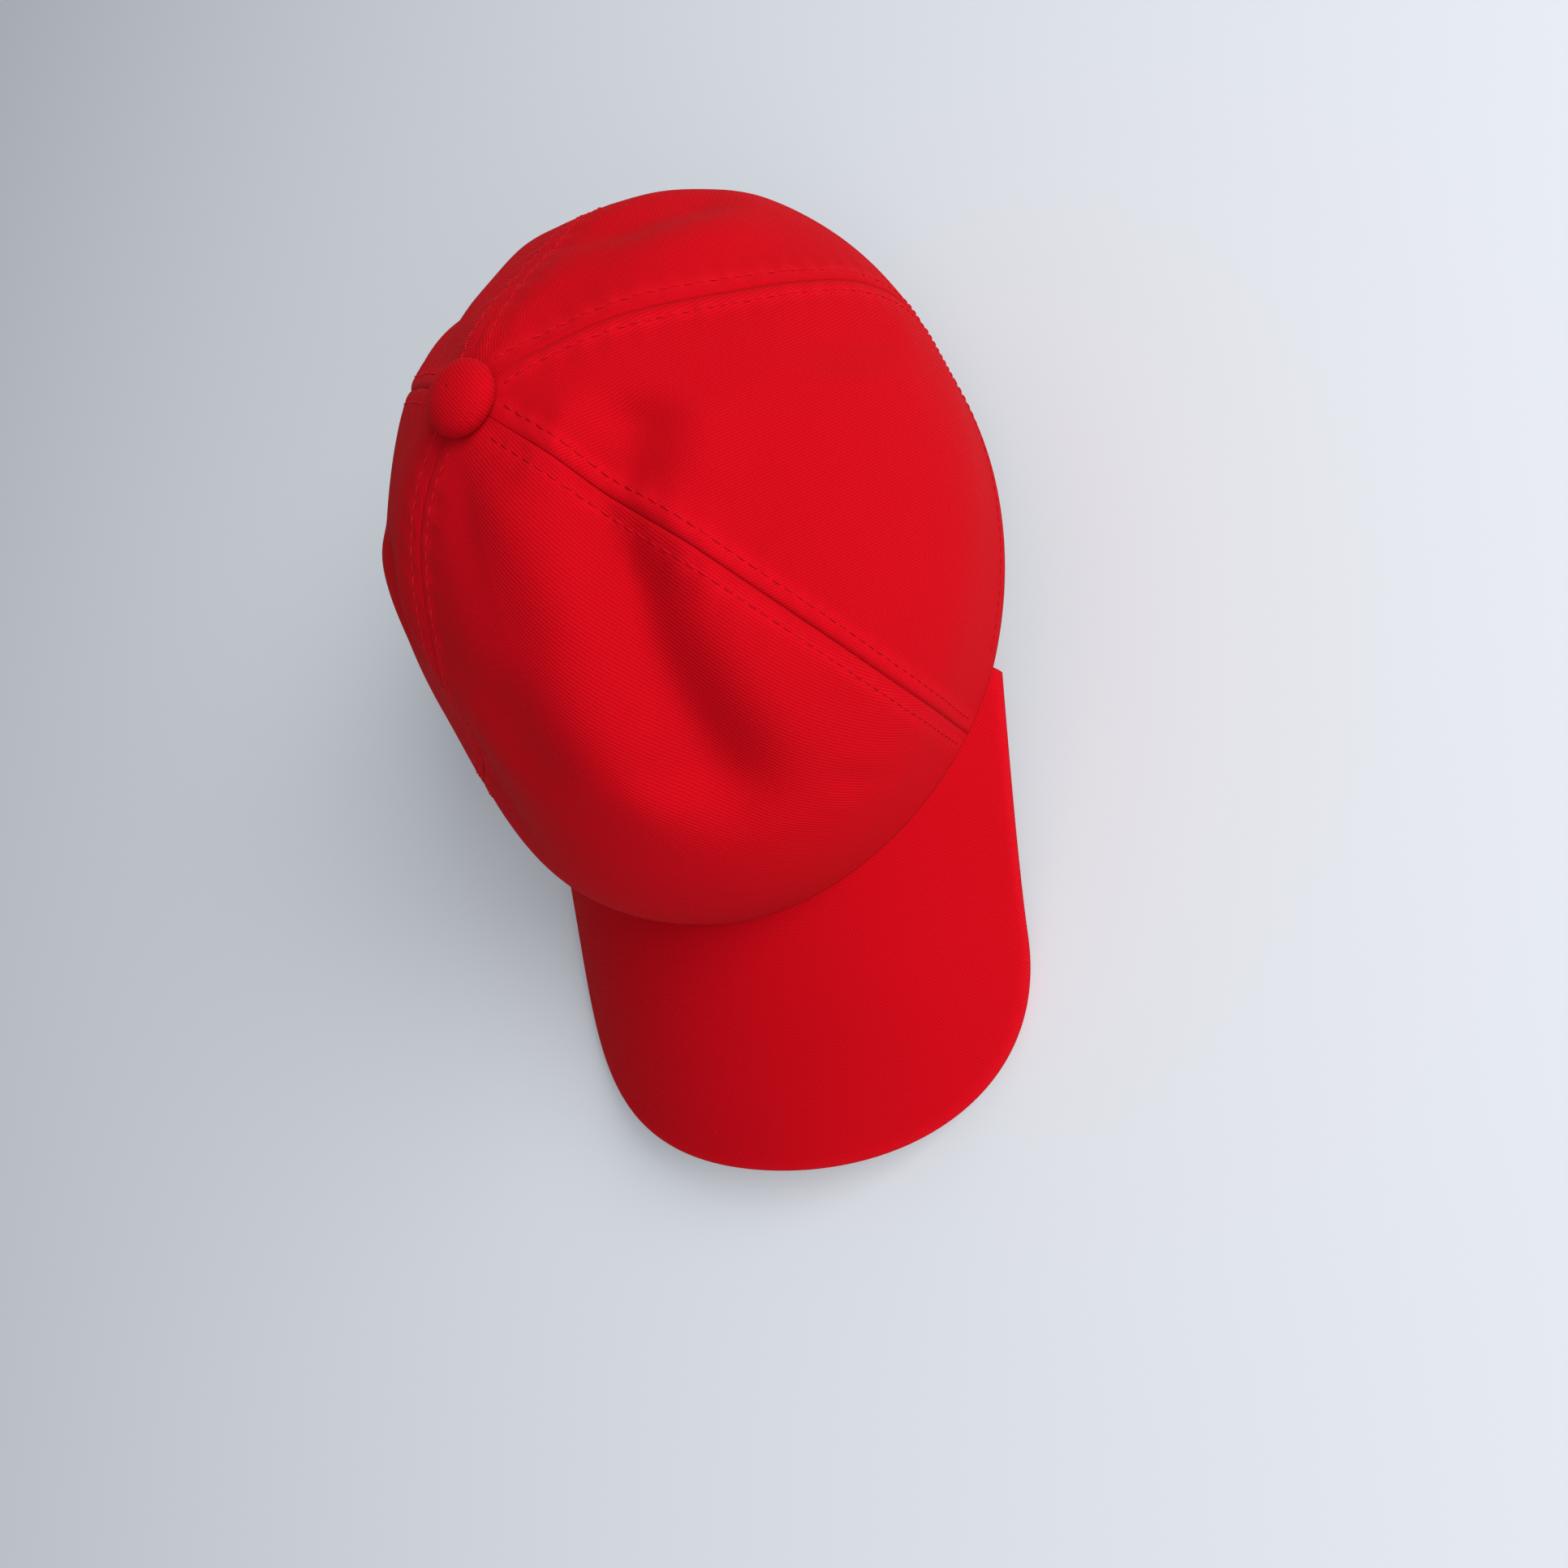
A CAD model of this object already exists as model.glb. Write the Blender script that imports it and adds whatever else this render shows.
# %% [markdown]
# # A soft five-panel cap
# The rigid design comes in first as a fixed frame. Every cloth piece is then drawn again as a
# thin shell that follows the same crown, with the seams, dents and stitches of real twill.
# The metal buckle and the parts inside the button keep their designed shape.

# %% Load the frame
import math

import bpy
import numpy as np
from mathutils import Matrix, Vector


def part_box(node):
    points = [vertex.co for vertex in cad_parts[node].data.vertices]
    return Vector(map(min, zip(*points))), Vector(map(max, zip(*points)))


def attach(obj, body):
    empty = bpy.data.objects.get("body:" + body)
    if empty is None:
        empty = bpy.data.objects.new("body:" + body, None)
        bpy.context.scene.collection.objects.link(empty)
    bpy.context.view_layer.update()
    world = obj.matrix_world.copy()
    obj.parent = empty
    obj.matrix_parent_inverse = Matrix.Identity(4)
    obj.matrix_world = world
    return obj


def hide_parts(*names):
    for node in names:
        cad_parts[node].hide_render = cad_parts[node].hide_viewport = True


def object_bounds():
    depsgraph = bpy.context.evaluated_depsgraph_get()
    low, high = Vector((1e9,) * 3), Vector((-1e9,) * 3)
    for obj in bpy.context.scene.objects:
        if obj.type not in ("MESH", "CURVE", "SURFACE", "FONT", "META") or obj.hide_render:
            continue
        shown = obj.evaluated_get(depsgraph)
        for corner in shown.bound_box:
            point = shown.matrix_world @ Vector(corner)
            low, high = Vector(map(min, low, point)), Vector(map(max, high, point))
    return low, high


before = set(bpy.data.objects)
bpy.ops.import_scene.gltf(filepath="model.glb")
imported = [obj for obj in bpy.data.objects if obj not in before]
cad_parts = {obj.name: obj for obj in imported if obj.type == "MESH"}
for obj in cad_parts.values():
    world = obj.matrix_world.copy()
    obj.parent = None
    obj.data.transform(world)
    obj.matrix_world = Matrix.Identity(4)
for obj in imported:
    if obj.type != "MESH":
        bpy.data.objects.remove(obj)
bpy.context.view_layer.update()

# %% [markdown]
# ## Sizes
# The crown's length and width are read from the boxes of its panels. The rest are the maker's
# own measures, in metres: height, cloth, tape, the opening at the back and the visor's curve.

# %% Sizes
MM = 0.001
HALF_LENGTH = -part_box("front_panel")[0].y
HALF_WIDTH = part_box("side_panel_left")[1].x
CROWN_TOP = 122 * MM
WALL_RISE = 27 * MM
SIDE_FULLNESS, TOP_FULLNESS = 0.48, 0.44
CLOTH = 1.1 * MM
TAPE_INSET, TAPE_THICK, TAPE_WIDTH = 1.2 * MM, 0.6 * MM, 16 * MM
ARCH_HALF_WIDTH, ARCH_HEIGHT = 42 * MM, 50 * MM
BAND_INSET, BAND_THICK, BAND_HEIGHT = 6.05 * MM, 1.5 * MM, 34 * MM
VISOR_RADIUS, VISOR_TILT, VISOR_RISE = 108 * MM, math.radians(16), 18 * MM
VISOR_THICK, VISOR_LENGTH = 3.8 * MM, 71 * MM
VISOR_HALF_WIDTH, VISOR_TURN_Y, VISOR_REAR_Y = 79 * MM, -114 * MM, -40 * MM
NOSE_REACH, SIDE_REACH = 52 * MM, 40 * MM
FRONT_SEAM, BACK_SEAM = math.radians(51), math.radians(125)
crown_size = np.array([2 * HALF_WIDTH, 2 * HALF_LENGTH, CROWN_TOP])
print("crown's width, length and height, mm:", (crown_size / MM).round(1))

# %% [markdown]
# ## From arrays to meshes
# Each cloth piece is two grids of points, its outer and its inner face. One helper joins them
# along their borders into a closed shell, so the piece has a real thickness. Each corner also
# gets a place on the flat cloth (its UV), in metres, so that the weave runs with the cloth.

# %% Mesh helpers
def new_piece(name, points, faces, uv=None, marks=None):
    """A mesh object from points and faces, smooth, with an optional UV and named point values."""
    mesh = bpy.data.meshes.new(name)
    mesh.from_pydata(points.reshape(-1, 3).tolist(), [], faces)
    mesh.polygons.foreach_set("use_smooth", np.ones(len(mesh.polygons), bool))
    if uv is not None:
        corners = np.zeros(len(mesh.loops), np.int32)
        mesh.loops.foreach_get("vertex_index", corners)
        layer = mesh.uv_layers.new(name="cloth")
        layer.data.foreach_set("uv", uv.reshape(-1, 2)[corners].ravel())
    for label, values in (marks or {}).items():
        attribute = mesh.attributes.new(label, "FLOAT", "POINT")
        attribute.data.foreach_set("value", values.astype(np.float32).ravel())
    mesh.update()
    piece = bpy.data.objects.new(name, mesh)
    bpy.context.scene.collection.objects.link(piece)
    return piece


def grid_faces(rows, columns, start=0):
    """Quads of a grid of rows by columns points, numbered row by row from start."""
    corner = start + np.arange(rows - 1)[:, None] * columns + np.arange(columns - 1)
    return np.stack([corner, corner + columns, corner + columns + 1, corner + 1], -1).reshape(-1, 4)


def border(rows, columns):
    """Point numbers round the edge of a grid, once round, in order."""
    grid = np.arange(rows * columns).reshape(rows, columns)
    return np.concatenate([grid[0, :-1], grid[:-1, -1], grid[-1, :0:-1], grid[:0:-1, 0]])


def shell(name, outer, inner, uv, marks=None):
    """Closed shell between two grids: outer face, reversed inner face and a wall round the edge."""
    rows, columns = outer.shape[:2]
    count = rows * columns
    top = grid_faces(rows, columns)
    under = grid_faces(rows, columns, count)[:, ::-1]
    edge = border(rows, columns)
    following = np.roll(edge, -1)
    wall = np.stack([edge, following, following + count, edge + count], -1)
    points = np.concatenate([outer.reshape(-1, 3), inner.reshape(-1, 3)])
    both = {k: np.tile(v.ravel(), 2) for k, v in (marks or {}).items()}
    faces = np.concatenate([top, under, wall]).tolist()
    return outward(new_piece(name, points, faces, np.tile(uv.reshape(-1, 2), (2, 1)), both))


def tube_faces(rows, count):
    """Quads of a closed section of `rows` points carried through `count` places, its ends open."""
    ring = np.arange(rows)[:, None] * count + np.arange(count - 1)
    after = (np.arange(rows)[:, None] + 1) % rows * count + np.arange(count - 1)
    return np.stack([ring, ring + 1, after + 1, after], -1).reshape(-1, 4).tolist()


def outward(piece):
    """Turns a closed mesh so that its faces point outwards."""
    mesh = piece.data
    count = len(mesh.vertices)
    points = np.zeros(count * 3)
    mesh.vertices.foreach_get("co", points)
    points = points.reshape(-1, 3)
    mesh.calc_loop_triangles()
    triangles = np.zeros(len(mesh.loop_triangles) * 3, np.int32)
    mesh.loop_triangles.foreach_get("vertices", triangles)
    a, b, c = (points[triangles.reshape(-1, 3)[:, k]] for k in range(3))
    if np.einsum("ij,ij->i", a, np.cross(b, c)).sum() < 0:
        mesh.flip_normals()
    return piece


def smoothstep(value, low, high):
    """0 below low, 1 above high, and an S-shaped ramp between."""
    t = np.clip((value - low) / (high - low), 0, 1)
    return t * t * (3 - 2 * t)


def bump(value, width):
    """A smooth hill of height 1 at 0, falling to about a third at one width."""
    return np.exp(-((value / width) ** 2))


def running_length(line):
    """Distance along a line of points, from its first point."""
    return np.concatenate([[0], np.cumsum(np.linalg.norm(np.diff(line, axis=0), axis=1))])


print("a grid of 2 by 3 points has", len(grid_faces(2, 3)), "quads and a border of", len(border(2, 3)))

# %% [markdown]
# ## The crown as a formula
# A cap's crown is an oval wall that rises straight and then turns over to the button. Its
# outline from the rim to the top is one line and one Bezier curve, and the same outline is used
# all the way round, stretched to the oval. A point is named by its turn round the oval and by
# its share of the way up, so each panel is simply a patch of that surface.

# %% Crown surface
def crown_outline(samples=400):
    """Radius share, height and distance from the rim along the crown's outline."""
    t = np.linspace(0, 1, samples)
    turn = CROWN_TOP - WALL_RISE
    radius = (1 - t) ** 3 + 3 * (1 - t) ** 2 * t + 3 * (1 - t) * t**2 * TOP_FULLNESS
    height = WALL_RISE + turn * (3 * (1 - t) ** 2 * t * SIDE_FULLNESS + 3 * (1 - t) * t**2 + t**3)
    radius = np.concatenate([np.ones(60), radius])
    height = np.concatenate([np.linspace(0, WALL_RISE, 60, endpoint=False), height])
    steps = np.hypot(np.diff(radius) * (HALF_LENGTH + HALF_WIDTH) / 2, np.diff(height))
    return radius, height, np.concatenate([[0], np.cumsum(steps)])


RADIUS_LINE, HEIGHT_LINE, ARC_LINE = crown_outline()
ARC = ARC_LINE[-1]


def way_up(height):
    """Distance along the outline at which it reaches a height."""
    return np.interp(height, HEIGHT_LINE, ARC_LINE)


def crown_base(theta, way):
    """Outer crown before any softness: place, outward normal and metres per radian of turn."""
    radius = np.interp(way, ARC_LINE, RADIUS_LINE)
    height = np.interp(way, ARC_LINE, HEIGHT_LINE)
    step = 0.5 * MM

    def slope(line):
        above, below = np.interp(way + step, ARC_LINE, line), np.interp(way - step, ARC_LINE, line)
        return (above - below) / (2 * step)

    rise, run = slope(HEIGHT_LINE), slope(RADIUS_LINE)
    sine, cosine = np.sin(theta), np.cos(theta)
    place = np.stack([HALF_WIDTH * radius * sine, -HALF_LENGTH * radius * cosine, height], -1)
    normal = [HALF_LENGTH * rise * sine, -HALF_WIDTH * rise * cosine, -HALF_LENGTH * HALF_WIDTH * run]
    normal = np.stack(normal, -1)
    normal /= np.linalg.norm(normal, axis=-1, keepdims=True)
    stretch = radius * np.hypot(HALF_WIDTH * cosine, HALF_LENGTH * sine)
    return place, normal, stretch


def turn_of(angle):
    """Turn of the oval at which a straight seam of that plan angle lies."""
    return np.arctan2(HALF_LENGTH * np.sin(angle), HALF_WIDTH * np.cos(angle))


front_turn, back_turn = float(turn_of(FRONT_SEAM)), float(turn_of(BACK_SEAM))
SEAMS = [-front_turn, front_turn, back_turn, math.pi, -back_turn]
print(f"outline {ARC / MM:.0f} mm from rim to button")
print("seams at turns", [round(math.degrees(seam)) for seam in SEAMS])

# %% [markdown]
# ## Softness
# No lining holds this crown up, so the cloth swells a little between its seams, is pinched at
# each seam, and keeps a few folds. A fold is a shallow valley between two places on the surface,
# with a soft lip on each side. Where the crown has sunk there are broad hollows, and where it hangs
# askew the cloth has slipped round a little. All of it fades out at the rim and under the button,
# where other pieces hold the cloth.

# %% Softness
# One end and the other (turn in degrees, way up in mm), then half width and depth in mm.
FOLDS = [
    (86, 134, 62, 130, 9.0, 4.6),
    (58, 144, 38, 116, 9.0, 3.2),
    (37, 126, 25, 70, 11.0, 6.4),
    (16, 90, 29, 74, 4.5, 0.7),
    (40, 52, 47, 30, 3.4, 1.1),
    (-14, 118, -8, 92, 12.0, 1.8),
    (100, 92, 108, 58, 8.0, 1.8),
    (150, 124, 142, 84, 9.0, 2.6),
    (-140, 126, -152, 82, 10.0, 3.2),
    (-96, 112, -108, 66, 10.0, 3.4),
    (-74, 120, -62, 96, 8.0, 2.2),
]
# Middle (turn, way up), radius and depth of the broad places where the crown has sunk.
SINKS = [(-38, 74, 34, 9.0), (-168, 122, 30, 4.5), (180, 66, 24, 3.0), (70, 122, 26, 2.0)]
# Middle (turn), how far the cloth has slipped there (degrees), and the ways up (mm) at which the
# slip starts, is full, begins to fade and has ended.
SLIPS = [(-57, 15, 2, 115, 118, 172), (119, -5, 30, 110, 115, 172), (180, -6, 55, 115, 120, 172)]
SEAM_ROW = 3.8 * MM
SWELL, GROOVE, ALLOWANCE, ROW_SINK, PUCKER = 1.3 * MM, 0.4 * MM, 0.14 * MM, 0.14 * MM, 0.16 * MM
print(f"{len(FOLDS)} folds, {len(SINKS)} hollows, {len(SLIPS)} places where the cloth has slipped")


def wrap(turn):
    """A turn brought to between minus and plus half a circle."""
    return (turn + math.pi) % (2 * math.pi) - math.pi


def seam_shape(theta, way, stretch):
    """Swell between seams, pinch at them, the raised allowance, and puckers beside the stitches."""
    gaps = np.stack([wrap(theta - seam) * stretch for seam in SEAMS])
    nearest = gaps[np.abs(gaps).argmin(0), *np.indices(theta.shape)]
    away = np.abs(nearest)
    swell = SWELL * (1 - bump(away, 30 * MM))
    groove = -GROOVE * bump(away, 0.7 * MM)
    allowance = ALLOWANCE * (1 - smoothstep(away, SEAM_ROW + 0.4 * MM, SEAM_ROW + 1.6 * MM))
    row = -ROW_SINK * bump(away - SEAM_ROW, 0.6 * MM)
    ripple = np.sin(way / (7.3 * MM) * 2 * math.pi + 1.7 * np.sin(way / (31 * MM)) + np.sign(nearest))
    beside = smoothstep(away, 0.8 * MM, 2.4 * MM)
    pucker = PUCKER * ripple * beside * (1 - smoothstep(away, 5 * MM, 13 * MM))
    return swell + groove + allowance + row + pucker, away


def folds(theta, way, stretch):
    """Valleys with a soft lip on both sides, each a hill profile across the line of its two ends."""
    total = np.zeros_like(theta)
    for turn_a, up_a, turn_b, up_b, width, depth in FOLDS:
        middle = math.radians((turn_a + turn_b) / 2)
        reach = float(crown_base(np.array(middle), np.array((up_a + up_b) / 2 * MM))[2])
        run = np.array([math.radians(turn_b - turn_a) * reach, (up_b - up_a) * MM])
        half = np.linalg.norm(run) / 2
        run /= 2 * half
        x, y = wrap(theta - middle) * stretch, way - (up_a + up_b) / 2 * MM
        along = x * run[0] + y * run[1]
        across = x * run[1] - y * run[0] + 0.10 * along**2 / half
        lip, lip_width = 1.8 * width * MM, 1.1 * width * MM
        lips = bump(across - lip, lip_width) + bump(across + lip, lip_width)
        ends = 1 - smoothstep(np.abs(along), 0.45 * half, 1.5 * half)
        total -= depth * MM * (bump(across, width * MM) - 0.34 * lips) * ends
    for turn, up, radius, depth in SINKS:
        gap = np.hypot(wrap(theta - math.radians(turn)) * stretch, way - up * MM)
        total -= depth * MM * bump(gap, radius * MM)
    return total


def slip(theta, way):
    """Turn by which the limp cloth has slid round the crown at a place; nothing at rim and button."""
    total = np.zeros_like(theta)
    for turn, much, start, full, fading, end in SLIPS:
        span = smoothstep(way, start * MM, full * MM) * (1 - smoothstep(way, fading * MM, end * MM))
        total += math.radians(much) * span * bump(wrap(theta - math.radians(turn)), 0.55)
    return total


def drift(theta, way):
    """Slow unevenness of limp cloth: three crossed waves."""
    a = np.sin(3 * theta + way / (28 * MM)) + 0.7 * np.sin(5 * theta - way / (19 * MM) + 1.3)
    return 0.42 * MM * (a + 0.6 * np.sin(8 * theta + way / (13 * MM) + 0.4))


def crown_point(theta, way, inset=0.0, lift=0.0):
    """Soft crown, `inset` inside its outer face: place, normal and distance from the nearest seam."""
    theta, way = np.broadcast_arrays(np.asarray(theta, float), np.asarray(way, float))
    shown = theta + slip(theta, way)
    place, normal, stretch = crown_base(shown, way)
    seams, away = seam_shape(theta, way, stretch)
    held = smoothstep(way, 32 * MM, 64 * MM) * smoothstep(ARC - way, 8 * MM, 26 * MM)
    seam_held = smoothstep(way, 4 * MM, 30 * MM) * smoothstep(ARC - way, 7 * MM, 16 * MM)
    swell = seams * (0.25 + 0.75 * held) * np.maximum(seam_held, 0.25)
    soft = swell + held * (folds(shown, way, stretch) + drift(shown, way))
    return place + normal * (soft + lift - inset)[..., None], normal, away


# %% [markdown]
# ## Where the crown's cloth starts
# At the front the panels stand on the visor, at the sides on the rim, and at the back they leave
# an arched opening. The lower edge is therefore a height worked out for every turn.

# %% Visor surface and lower edge
BELOW_RIM = -2.2 * MM


def visor_frame():
    """A point on the visor's axis, and the sine and cosine of its tilt."""
    sine, cosine = math.sin(VISOR_TILT), math.cos(VISOR_TILT)
    return (-HALF_LENGTH + VISOR_RADIUS * sine, VISOR_RISE - VISOR_RADIUS * cosine, sine, cosine)


def visor_height(x, y, depth=0.0):
    """Height of a tilted round surface, `depth` below the visor's upper face."""
    axis_y, axis_z, sine, cosine = visor_frame()
    over = np.sqrt((VISOR_RADIUS - depth) ** 2 - x**2)
    return axis_z + (over + (y - axis_y) * sine) / cosine


def oval(theta, inset=0.0):
    """Plan place of the rim's oval."""
    return (HALF_WIDTH - inset) * np.sin(theta), -(HALF_LENGTH - inset) * np.cos(theta)


def rim_height(theta, depth=0.0, inset=0.0):
    """Height of the crown's lower edge: the visor's surface in front, the rim plane elsewhere."""
    x, y = oval(wrap(theta), inset)
    lowest = BELOW_RIM if depth else 0.0
    return np.where(y < VISOR_REAR_Y, np.maximum(visor_height(x, y, depth), lowest), 0.0)


REAR_TURN = float(np.arccos(-VISOR_REAR_Y / HALF_LENGTH))
ARCH_TURN = math.pi - math.asin(ARCH_HALF_WIDTH / HALF_WIDTH)
print("visor's end and opening's edge at turns", np.degrees([REAR_TURN, ARCH_TURN]).round())


# %% [markdown]
# ## Crown panels
# Five panels: one wide front, two sides and two backs. The grid's rows run up the panel and its
# columns across it. On the back panels the columns bunch along the arch, so its edge is round.

# %% Crown panels
TOP_WAY = ARC - 1.8 * MM
SEAM_ROOM = 0.06 * MM
SPACING = 1.25 * MM


def panel_columns(start, end):
    """Turns across a panel, and the way up at which each column starts."""
    count = int(abs(end - start) * (HALF_LENGTH + HALF_WIDTH) / 2 / SPACING)
    turns = np.linspace(start, end, count)
    return turns, way_up(rim_height(turns))


def arch_columns(start):
    """The same for the left back panel: from its seam to the arch, then along the arch."""
    count = int((ARCH_TURN - start) * HALF_LENGTH / SPACING)
    plain = np.linspace(start, ARCH_TURN, count, endpoint=False)
    swing = np.linspace(0, math.pi / 2, int(60 * MM / SPACING) + 8)
    height = ARCH_HEIGHT * np.sin(swing)
    radius = np.interp(way_up(height), ARC_LINE, RADIUS_LINE)
    turns = math.pi - np.arcsin(ARCH_HALF_WIDTH * np.cos(swing) / (HALF_WIDTH * radius))
    return np.concatenate([plain, turns]), np.concatenate([np.zeros(len(plain)), way_up(height)])


def panel_grid(turns, starts):
    """Turn and way up at each grid point, from the panel's lower edge to the button."""
    share = np.linspace(0, 1, int(ARC / SPACING))[:, None]
    way = starts + (TOP_WAY - starts) * share
    return np.broadcast_to(turns, way.shape).copy(), way


def grid_area(points):
    """Area of a grid of points, from the diagonals of its cells."""
    one = points[1:, 1:] - points[:-1, :-1]
    other = points[1:, :-1] - points[:-1, 1:]
    return float(np.linalg.norm(np.cross(one, other), axis=-1).sum() / 2)


def mesh_area(piece):
    """Total face area of a mesh."""
    areas = np.zeros(len(piece.data.polygons))
    piece.data.polygons.foreach_get("area", areas)
    return float(areas.sum())


def make_panel(name, turns, starts):
    """One panel as a closed shell, a hair short of its neighbours along the seams."""
    theta, way = panel_grid(turns, starts)
    _, _, stretch = crown_base(theta, way)
    room = SEAM_ROOM / np.maximum(stretch, 1 * MM)
    middle = (turns[0] + turns[-1]) / 2
    seam_ends = np.abs(turns - middle) > abs(turns[-1] - turns[0]) / 2 - 1e-6
    theta = theta - np.sign(theta - middle) * room * seam_ends
    outer, _, away = crown_point(theta, way)
    inner, _, _ = crown_point(theta, way, CLOTH)
    uv = np.stack([(theta - middle) * stretch, way], -1)
    ridge = bump(away - SEAM_ROW, 2.0 * MM)
    piece = shell(name, outer, inner, uv, {"edge": ridge})
    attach(piece, "cap")
    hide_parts(name.replace("cloth_", ""))
    cut = grid_area(crown_base(theta, way)[0])
    shown = mesh_area(piece) / 2
    print(f"{name}: cut {cut * 1e4:.0f}, shown {shown * 1e4:.0f} square cm")
    return piece


front = make_panel("cloth_front_panel", *panel_columns(SEAMS[0], SEAMS[1]))
side_left = make_panel("cloth_side_panel_left", *panel_columns(SEAMS[1], SEAMS[2]))
side_right = make_panel("cloth_side_panel_right", *panel_columns(-SEAMS[2], SEAMS[0]))
arch_turns, arch_starts = arch_columns(SEAMS[2])
back_left = make_panel("cloth_back_panel_left", arch_turns, arch_starts)
back_right = make_panel("cloth_back_panel_right", -arch_turns[::-1], arch_starts[::-1])
crown_panels = [front, side_left, side_right, back_left, back_right]

# %% [markdown]
# ## Seam tapes
# Inside, a woven tape is sewn over each seam. It could be a flat ribbon laid on afterwards, but
# it follows the crown's formula a little further in, so it dents with the cloth that carries it.

# %% Seam tapes
def cap_cloth_piece(piece, node):
    """Puts a piece on the cap's body in the place of a design piece."""
    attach(piece, "cap")
    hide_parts(node)
    return piece


def make_tape(node, seam, first_way):
    """A strip along a seam, narrowing where the tapes meet under the button."""
    way = np.linspace(first_way, TOP_WAY, 110)[:, None]
    across = np.linspace(-1, 1, 15)
    radius = np.interp(way, ARC_LINE, RADIUS_LINE)
    half = np.minimum(TAPE_WIDTH / 2, 0.40 * radius * HALF_WIDTH)
    _, _, stretch = crown_base(np.full_like(way, seam), way)
    theta = seam + across * half / stretch
    way = np.broadcast_to(way, theta.shape)
    crease = 0.16 * MM * bump(np.abs(across) - 0.82, 0.12)
    outer, _, _ = crown_point(theta, way, TAPE_INSET)
    inner, _, _ = crown_point(theta, way, TAPE_INSET + TAPE_THICK - crease)
    uv = np.stack([across * half, way], -1)
    return cap_cloth_piece(shell("tape_" + node, outer, inner, uv), node)


tape_foot = float(way_up(1.8 * MM))
front_foot = float(way_up(rim_height(SEAMS[1]) + 0.8 * MM))
tapes = [
    make_tape("seam_tape_front_left", SEAMS[1], front_foot),
    make_tape("seam_tape_front_right", SEAMS[0], front_foot),
    make_tape("seam_tape_back_left", SEAMS[2], tape_foot),
    make_tape("seam_tape_back_right", SEAMS[4], tape_foot),
    make_tape("seam_tape_back_centre", math.pi, float(way_up(ARCH_HEIGHT + 9.4 * MM))),
]
print(len(tapes), "tapes,", sum(len(tape.data.polygons) for tape in tapes), "faces")

# %% [markdown]
# ## Binding of the back opening
# A folded strip edges the arch from inside. It is worked out as the tapes are, on lines that run
# round the opening at growing distances from its edge.

# %% Binding of the back opening
def arch_line(swing, margin):
    """Turn and way up of a line round the opening, `margin` outside its edge."""
    height = (ARCH_HEIGHT + margin) * np.sin(swing)
    radius = np.interp(way_up(np.maximum(height, 0)), ARC_LINE, RADIUS_LINE)
    x = (ARCH_HALF_WIDTH + margin) * np.cos(swing)
    return math.pi - np.arcsin(np.clip(x / (HALF_WIDTH * radius), -1, 1)), way_up(np.maximum(height, 0))


def make_binding():
    """A strip round the arch, from its edge to its width, inside the crown."""
    margin = np.linspace(0.1, 9.0, 10)[:, None] * MM
    low = np.arcsin(1.8 * MM / (ARCH_HEIGHT + margin))
    swing = low + (math.pi - 2 * low) * np.linspace(0, 1, 120)
    theta, way = arch_line(swing, margin)
    outer, _, _ = crown_point(theta, way, TAPE_INSET)
    inner, _, _ = crown_point(theta, way, TAPE_INSET + TAPE_THICK)
    uv = np.stack([swing * ARCH_HEIGHT, np.broadcast_to(margin, swing.shape)], -1)
    return cap_cloth_piece(shell("tape_arch_binding", outer, inner, uv), "arch_binding")


binding = make_binding()
print("binding", len(binding.data.polygons), "faces")

# %% [markdown]
# ## Sweatband
# A folded band stands inside the rim and is sewn to it along its foot. It is one cross-section
# carried round the oval: out along the foot, up the inner face, over a rounded top and down again.

# %% Sweatband
def wall_place(theta, height, inset):
    """Place on the crown's wall at a height, `inset` inside its outer face."""
    radius = np.interp(way_up(np.maximum(height, 0)), ARC_LINE, RADIUS_LINE)
    x, y = oval(theta, inset)
    return np.stack([x * radius, y * radius, np.broadcast_to(height, x.shape)], -1)


def band_section(turns):
    """Inset and height of the band's closed cross-section at each turn."""
    in_front = 1 - smoothstep(np.abs(turns), REAR_TURN - 0.004, REAR_TURN + 0.004)
    foot = CLOTH + 0.06 * MM + (BAND_INSET - CLOTH - 0.06 * MM) * in_front
    floor = rim_height(turns, VISOR_THICK, BAND_INSET) * in_front
    face, back = BAND_INSET + BAND_THICK, BAND_INSET
    top = np.maximum(BAND_HEIGHT, floor + BAND_HEIGHT)
    rounding = np.linspace(0, math.pi, 9)
    rise = np.linspace(0.04, 0.97, 14)
    inset = [foot, 0.5 * (foot + face), face - 0.5 * MM + 0 * foot]
    height = [floor, floor, floor]
    for share in rise:
        inset.append(face + 0 * foot)
        height.append(floor + (top - floor) * share)
    for angle in rounding:
        inset.append((face + back) / 2 + BAND_THICK / 2 * math.cos(angle) + 0 * foot)
        height.append(top - BAND_THICK / 2 * (1 - math.sin(angle)))
    for share in rise[::-1]:
        inset.append(back + 0 * foot)
        height.append(floor + (top - floor) * np.maximum(share, 1.5 * MM / (top - floor)))
    inset += [np.minimum(foot + 0.3 * MM, back), foot]
    height += [floor + 1.5 * MM, floor + 1.4 * MM]
    return np.array(inset), np.array(height)


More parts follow.
